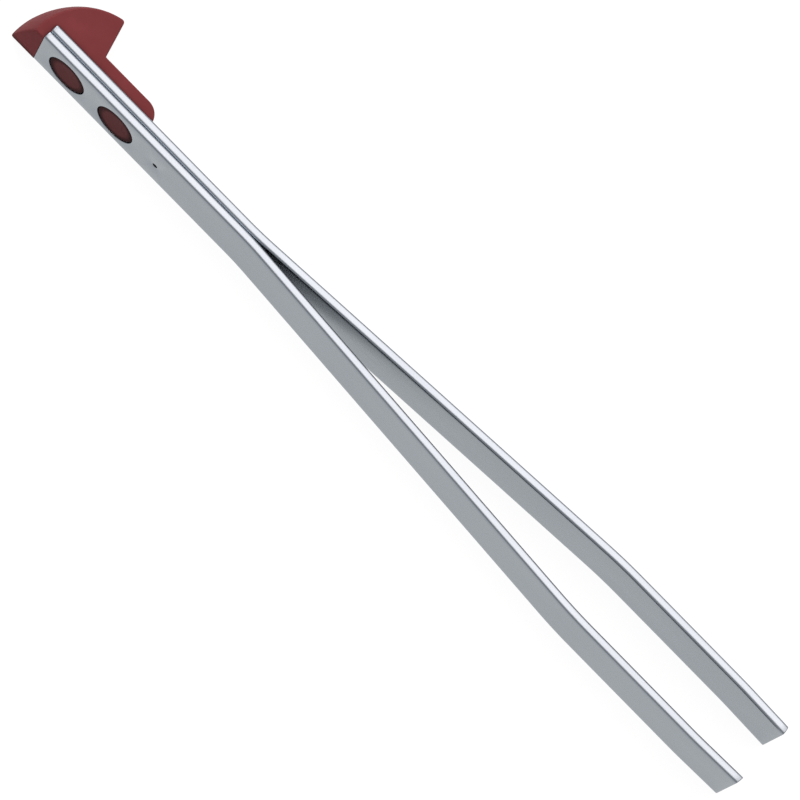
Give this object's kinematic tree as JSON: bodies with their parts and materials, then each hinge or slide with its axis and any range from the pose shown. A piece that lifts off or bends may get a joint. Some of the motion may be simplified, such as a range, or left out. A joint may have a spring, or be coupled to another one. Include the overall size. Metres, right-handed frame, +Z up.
{
  "type": "pocket knife tweezers",
  "caption": "Slim spring tweezers: flat steel leaves joined back to back in a small red moulded head with a fingernail notch, made to slide into a slot in a knife handle.",
  "frame": {"origin": "bottom centre of the box around the open tweezers as they lie on their leaf edges", "axes": "+X along the length from the head to the tips, +Y the direction in which the arms open, on the side of the head's fin, +Z up from the face that the tweezers lie on"},
  "size_m": [0.045, 0.0054, 0.0028],
  "materials": {
    "leaf_steel": "fine satin ground faces, brighter rolled edges",
    "head_plastic": "semi-gloss moulded dark red"
  },
  "bodies": {
    "head": {"head_cap": "head_plastic", "front_leaf_shank": "leaf_steel", "rear_leaf_shank": "leaf_steel", "weld_nugget": "leaf_steel"},
    "front_arm": {"front_leaf_arm": "leaf_steel"},
    "rear_arm": {"rear_leaf_arm": "leaf_steel"}
  },
  "joints": [
    {"name": "front_arm_flex", "type": "hinge", "parent": "head", "child": "front_arm", "pos_m": [-0.00794, -0.00094, 0.00142], "axis": [0, 0, 1], "range_deg": [0, 2.47], "stiffness_Nm_per_rad": 0.22},
    {"name": "rear_arm_flex", "type": "hinge", "parent": "head", "child": "rear_arm", "pos_m": [-0.00794, -0.00084, 0.00142], "axis": [0, 0, -1], "range_deg": [0, 2.47], "stiffness_Nm_per_rad": 0.22}
  ],
  "couplings": [
    {"joint": "rear_arm_flex", "follows": "front_arm_flex", "ratio": 1}
  ]
}
